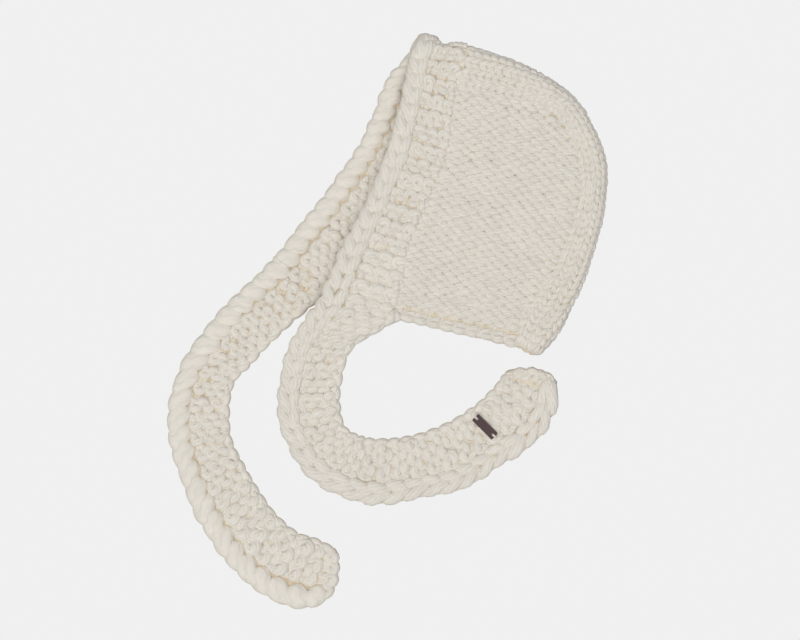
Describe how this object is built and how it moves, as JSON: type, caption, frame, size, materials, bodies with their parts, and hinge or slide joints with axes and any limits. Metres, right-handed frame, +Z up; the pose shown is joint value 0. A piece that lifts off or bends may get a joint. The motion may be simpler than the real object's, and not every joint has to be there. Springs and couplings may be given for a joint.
{
  "type": "knitted balaclava hood with ties",
  "caption": "Chunky cream knitted hood with a garter stitch face band that runs on into two long flat ties, lying folded flat, worn over head and neck.",
  "frame": {"origin": "on the surface that the hood lies on, under the middle of its bounding box", "axes": "+Z up from the surface, +Y towards the crown along the longest extent, +X towards the back of the hood"},
  "size_m": [0.464, 0.6064, 0.036],
  "materials": {
    "cream_wool": "soft matt wool yarn, cream, super bulky, loosely plied",
    "dark_label": "dark brown stove enamel on a small cast plate, slightly worn"
  },
  "bodies": {
    "root": {"hood_side_near": "cream_wool", "hood_side_far": "cream_wool", "crown_gusset": "cream_wool", "front_band_near": "cream_wool", "front_band_far": "cream_wool", "tie_near": "cream_wool", "tie_far": "cream_wool", "label_plate": "dark_label"}
  },
  "joints": []
}
